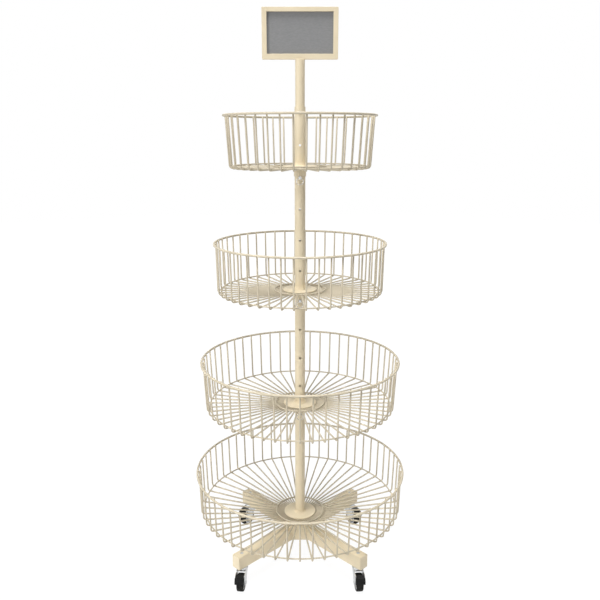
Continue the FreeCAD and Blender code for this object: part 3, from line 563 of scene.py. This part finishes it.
# %% [markdown]
# ## Pole and stem
# Both are plain tubes with cross-drilled holes. The stem's top is welded to the sign's frame along
# the frame's front and back edges. A round tube that came from the construction model is made of
# long flat strips. Its outline is fine, but its shading isn't, so the copies get the true normals
# of a cylinder: outwards on the outside, and inwards in the bore.


# %% Tubes with true round shading
def as_tube(node, outside, inside, beads=()):
    """A copy of a drilled tube about Z, shaded as the cylinder it stands for, with its welds."""
    piece = as_piece(joined([from_node(node), *beads]), node)
    mesh = piece.data
    normals = [(0, 0, 0)] * len(mesh.loops)
    steepest = 0.1
    tolerance = 0.2 * mm
    for face in mesh.polygons:
        if abs(face.normal.z) > steepest:
            continue
        rays = [Vector((mesh.vertices[i].co.x, mesh.vertices[i].co.y, 0)) for i in face.vertices]
        for radius, way in ((outside, 1), (inside, -1)):
            on_it = all(abs(ray.length - radius) < tolerance for ray in rays)
            if on_it and face.normal.dot(rays[0]) * way > 0:
                for loop, ray in zip(face.loop_indices, rays):
                    normals[loop] = tuple(ray.normalized() * way)
    mesh.normals_split_custom_set(normals)
    return piece


as_tube("pole", outside=14.5 * mm, inside=13 * mm)
stem_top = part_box("sign_stem")[1].z
frame_half = (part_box("sign_frame")[1].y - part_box("sign_frame")[0].y) / 2
weld_end = 10 * mm
stem_welds = [
    straight_bead(
        (-weld_end, side, stem_top), (weld_end, side, stem_top), 1.3 * mm, pitch=2.2 * mm
    )
    for side in (-frame_half, frame_half)
]
as_tube("sign_stem", outside=12.5 * mm, inside=11 * mm, beads=stem_welds)
print("pole and stem done")

# %% [markdown]
# ## Pins, rings and the snap button
# A basket rests on a steel pin through the pole. The pin has a stop and an eye, and a small ring
# through the eye pulls it out. They are small, so the node's own shape with rounded edges does
# for the pin, and a fresh spin gives the ring's wire a true round section.

# %% Pins and their rings
pull_wire = 0.9 * mm
for tier in ("top", "upper", "lower"):
    as_piece(from_node(tier + "_basket_pin"), tier + "_basket_pin", edge=0.25 * mm)
    low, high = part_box(tier + "_pin_ring")
    middle = (low + high) / 2
    ring = rolled_ring((high.x - low.x) / 2 - pull_wire, 0, pull_wire, sides=10, steps=60)
    facing = Matrix.Translation(middle) @ Matrix.Rotation(pi / 2, 4, "X")
    as_piece(placed(ring, facing), tier + "_pin_ring", sharp=60)
as_piece(from_node("stem_button"), "stem_button", edge=0.3 * mm)
print("pins and rings done")

# %% [markdown]
# ## The price card and its frame
# The frame is folded sheet with a slot behind its front border. The card drops in from above and
# leans in the slot, so the border's inner edges throw a thin dark line round it.

# %% The card and its frame
as_piece(from_node("sign_frame"), "sign_frame", edge=0.6 * mm)
as_piece(from_node("sign_card"), "sign_card", edge=0.3 * mm)
print("sign done")

# %% [markdown]
# ## The cross base
# Four rectangular tubes are welded to a square box, and each is closed by a plate. The tubes keep
# the model's own round corners, and get beads where their sides and tops meet the box.

# %% The cross base
leg_low, leg_high = 66.5 * mm, 106.5 * mm
leg_half = 15 * mm
corner_of_box = 59.5 * mm
shoulder = corner_of_box - leg_half
as_piece(from_node("base_centre_box"), "base_centre_box", even=True)
leg_bead = 1.6 * mm
leg_angles = {"front_left": 225, "front_right": 315, "back_left": 135, "back_right": 45}
for corner, angle in leg_angles.items():
    tube = [from_node("leg_" + corner)]
    for side in (-leg_half, leg_half):
        side_low = (shoulder, side, leg_low + 3 * mm)
        side_high = (shoulder, side, leg_high - 3 * mm)
        top_out = (shoulder + 2 * mm, side * 0.87, leg_high)
        top_in = (corner_of_box, 0, leg_high)
        beads = [
            straight_bead(side_low, side_high, leg_bead),
            straight_bead(top_out, top_in, leg_bead),
        ]
        tube += [placed(bead, Matrix.Rotation(radians(angle), 4, "Z")) for bead in beads]
    as_piece(joined(tube), "leg_" + corner, even=True)
as_piece(from_node("leg_end_caps"), "leg_end_caps", edge=0.5 * mm)
as_piece(from_node("base_bottom_plate"), "base_bottom_plate", edge=0.5 * mm)
print("base done")

# %% [markdown]
# ## Casters
# Each caster is a pressed fork on a threaded stud, with a wheel, a riveted axle and a brake pedal
# like a hood over the wheel. All four are alike, so the turned parts are drawn about one swivel
# axis and a matrix puts them under each leg. The front casters stand turned a little outwards.
# The back ones can't be seen in the photograph, and are turned by more as a guess.

# %% Where the casters stand
caster_reach = 164.7559 * mm
casters = {
    "front_left": (-1, -1, -6), "front_right": (1, -1, 6),
    "back_right": (1, 1, 35), "back_left": (-1, 1, -35),
}


def under_leg(corner):
    """The matrix from a caster's own axes to its place under a leg."""
    side, depth, angle = casters[corner]
    place = Matrix.Translation((side * caster_reach, depth * caster_reach, 0))
    return place @ Matrix.Rotation(radians(angle), 4, "Z")


trail = 18 * mm
wheel_radius = 25 * mm
axle_place = Matrix.Translation((0, -trail, wheel_radius)) @ Matrix.Rotation(pi / 2, 4, "Y")
print("casters", sorted(casters))

# %% Wheels, axles and forks
core_outline = [
    (3.05, 11.2), (8, 11.2), (8, 3), (15, 3), (15, 9), (19, 9),
    (19, -9), (15, -9), (15, -3), (8, -3), (8, -11.2), (3.05, -11.2),
]
tread_outline = [
    (19, 10), (22, 10), (24.2, 8.6), (24.8, 6.4), (24.3, 6.0), (24.3, 5.4), (24.9, 5.0),
    (25, 0), (24.9, -5.0), (24.3, -5.4), (24.3, -6.0), (24.8, -6.4), (24.2, -8.6), (22, -10),
    (19, -10),
]
rivet_outline = [
    (0, 15.8), (2.6, 15.6), (4.6, 14.9), (5.5, 13.9), (3, 13.9),
    (3, -13.9), (5.5, -13.9), (4.6, -14.9), (2.6, -15.6), (0, -15.8),
]
for corner in casters:
    on_axle = under_leg(corner) @ axle_place
    core = turned(in_metres(core_outline), corner=0.7 * mm, steps=64)
    as_piece(placed(core, on_axle), corner + "_wheel", sharp=40)
    tread = turned(in_metres(tread_outline), corner=0.12 * mm, steps=96)
    as_piece(placed(tread, on_axle), corner + "_tyre", sharp=40)
    rivet = turned(in_metres(rivet_outline), corner=0.15 * mm, steps=32, closed=False)
    as_piece(placed(rivet, on_axle), corner + "_axle", sharp=40)
    as_piece(from_node(corner + "_fork"), corner + "_fork", edge=0.35 * mm)
    as_piece(from_node(corner + "_brake_pedal"), corner + "_brake_pedal", edge=0.9 * mm)
print("wheels, forks and pedals done")

# %% [markdown]
# ## Studs and nuts
# The stud carries the fork's ball race as a cap under the leg, and screws into a nut welded inside
# the leg. Its end shows in a hole in the leg's top, so its last few turns of thread are cut.

# %% Studs and nuts
stud_outline = [
    (0, 55.9), (7.2, 55.9), (9, 57), (9, 58.9), (5, 58.9), (5, 61.5), (16.2, 61.5), (17, 62.1),
    (17, 63.3), (16.2, 63.9), (15.6, 65.6), (14, 66.5), (5, 66.5), (5, 99.5),
]
thread_pitch = 1.5
for turn_of_thread in range(4):
    groove = 100.25 + thread_pitch * turn_of_thread
    stud_outline += [(4.4, groove), (5, groove + thread_pitch / 2)]
stud_outline += [(4.3, 106), (0, 106)]
studs = []
for corner in casters:
    stud = turned(in_metres(stud_outline), corner=0.1 * mm, steps=48, closed=False)
    studs.append(placed(stud, under_leg(corner)))
as_piece(joined(studs), "caster_studs", sharp=40)
as_piece(from_node("caster_nuts"), "caster_nuts", edge=0.5 * mm)
print("studs and nuts done")

# %% [markdown]
# ## Hidden fixings
# The plug and the bolt that hold the pole are shut in. They keep the model's own shapes and only
# take their finish.

# %% Hidden fixings
for node in ("pole_foot_plug", "pole_bolt"):
    nodes[node].data.materials.clear()
    nodes[node].data.materials.append(finishes[finish_of[node]])
print("hidden fixings done")

# %% [markdown]
# ## Floor and light
# The photograph has a pure white ground. The floor and the world look white to the camera and to
# reflections, yet light the stand at a plain level, and the floor keeps a soft shadow. The stand
# is lit by a large soft lamp from the front left, one from above and a very weak one from the
# right, so that round tubes turn darker towards their right sides. A narrow beam reaches the base,
# which the baskets would otherwise leave in their shade.


# %% Tell the camera's rays from the light's
def seen_directly(tree):
    """One for rays from the camera, a reflection or a transmission, and zero for the rest."""
    path = tree.nodes.new("ShaderNodeLightPath")
    total = path.outputs["Is Camera Ray"]
    for ray in ("Is Glossy Ray", "Is Transmission Ray"):
        larger = tree.nodes.new("ShaderNodeMath")
        larger.operation = "MAXIMUM"
        tree.links.new(total, larger.inputs[0])
        tree.links.new(path.outputs[ray], larger.inputs[1])
        total = larger.outputs[0]
    return total


# %% A white floor that keeps a soft shadow
floor_radius = 9
bm = bmesh.new()
bmesh.ops.create_circle(bm, cap_ends=True, radius=floor_radius, segments=96)
floor_mesh = bpy.data.meshes.new("floor")
bm.to_mesh(floor_mesh)
bm.free()
floor = bpy.data.objects.new("floor", floor_mesh)
bpy.context.scene.collection.objects.link(floor)
white_floor = bpy.data.materials.new("white_floor")
white_floor.use_nodes = True
tree = white_floor.node_tree
matt = tree.nodes["Principled BSDF"]
matt.inputs["Base Color"].default_value = (0.9, 0.9, 0.9, 1)
matt.inputs["Roughness"].default_value = 0.9
glow = tree.nodes.new("ShaderNodeEmission")
glow.inputs["Strength"].default_value = 1.06
mix = tree.nodes.new("ShaderNodeMixShader")
place = tree.nodes.new("ShaderNodeTexCoord")
away = tree.nodes.new("ShaderNodeVectorMath")
away.operation = "LENGTH"
fade = tree.nodes.new("ShaderNodeMapRange")
fade.inputs["From Min"].default_value = 1.0
fade.inputs["From Max"].default_value = 3.0
fade.inputs["To Min"].default_value = 0.88
tree.links.new(place.outputs["Object"], away.inputs[0])
tree.links.new(away.outputs["Value"], fade.inputs["Value"])
share = tree.nodes.new("ShaderNodeMath")
share.operation = "MULTIPLY"
tree.links.new(seen_directly(tree), share.inputs[0])
tree.links.new(fade.outputs["Result"], share.inputs[1])
tree.links.new(share.outputs[0], mix.inputs["Fac"])
tree.links.new(matt.outputs[0], mix.inputs[1])
tree.links.new(glow.outputs[0], mix.inputs[2])
tree.links.new(mix.outputs[0], tree.nodes["Material Output"].inputs["Surface"])
floor_mesh.materials.append(white_floor)
print("floor done")

# %% The world
world = bpy.data.worlds.new("studio")
bpy.context.scene.world = world
world.use_nodes = True
tree = world.node_tree
level = tree.nodes.new("ShaderNodeMapRange")
level.inputs["To Min"].default_value = 0.11
level.inputs["To Max"].default_value = 1.0
tree.links.new(seen_directly(tree), level.inputs["Value"])
tree.nodes["Background"].inputs["Color"].default_value = (1, 1, 1, 1)
tree.links.new(level.outputs["Result"], tree.nodes["Background"].inputs["Strength"])
print("world done")


# %% The lamps
def soft_lamp(name, place, size, power, aim=(0, 0, 0.75), spread_angle=180):
    """A square lamp that faces the middle of the stand, or another place in a narrower beam."""
    lamp = bpy.data.lights.new(name, "AREA")
    lamp.size = size
    lamp.energy = power
    lamp.spread = radians(spread_angle)
    lamp_object = bpy.data.objects.new(name, lamp)
    lamp_object.location = place
    lamp_object.rotation_euler = (Vector(aim) - Vector(place)).to_track_quat("-Z", "Y").to_euler()
    bpy.context.scene.collection.objects.link(lamp_object)


soft_lamp("key_lamp", (-4.8, -3.6, 3.0), 2.0, 196)
soft_lamp("side_lamp", (2.8, -1.6, 1.2), 1.6, 5)
soft_lamp("top_lamp", (0.2, -1.5, 7.0), 2.2, 400)
soft_lamp("base_lamp", (-0.5, -1.65, 2.45), 0.8, 1.0, aim=(0, -0.05, 0.08), spread_angle=36)
bpy.context.scene.view_settings.view_transform = "Standard"
print("lamps done")
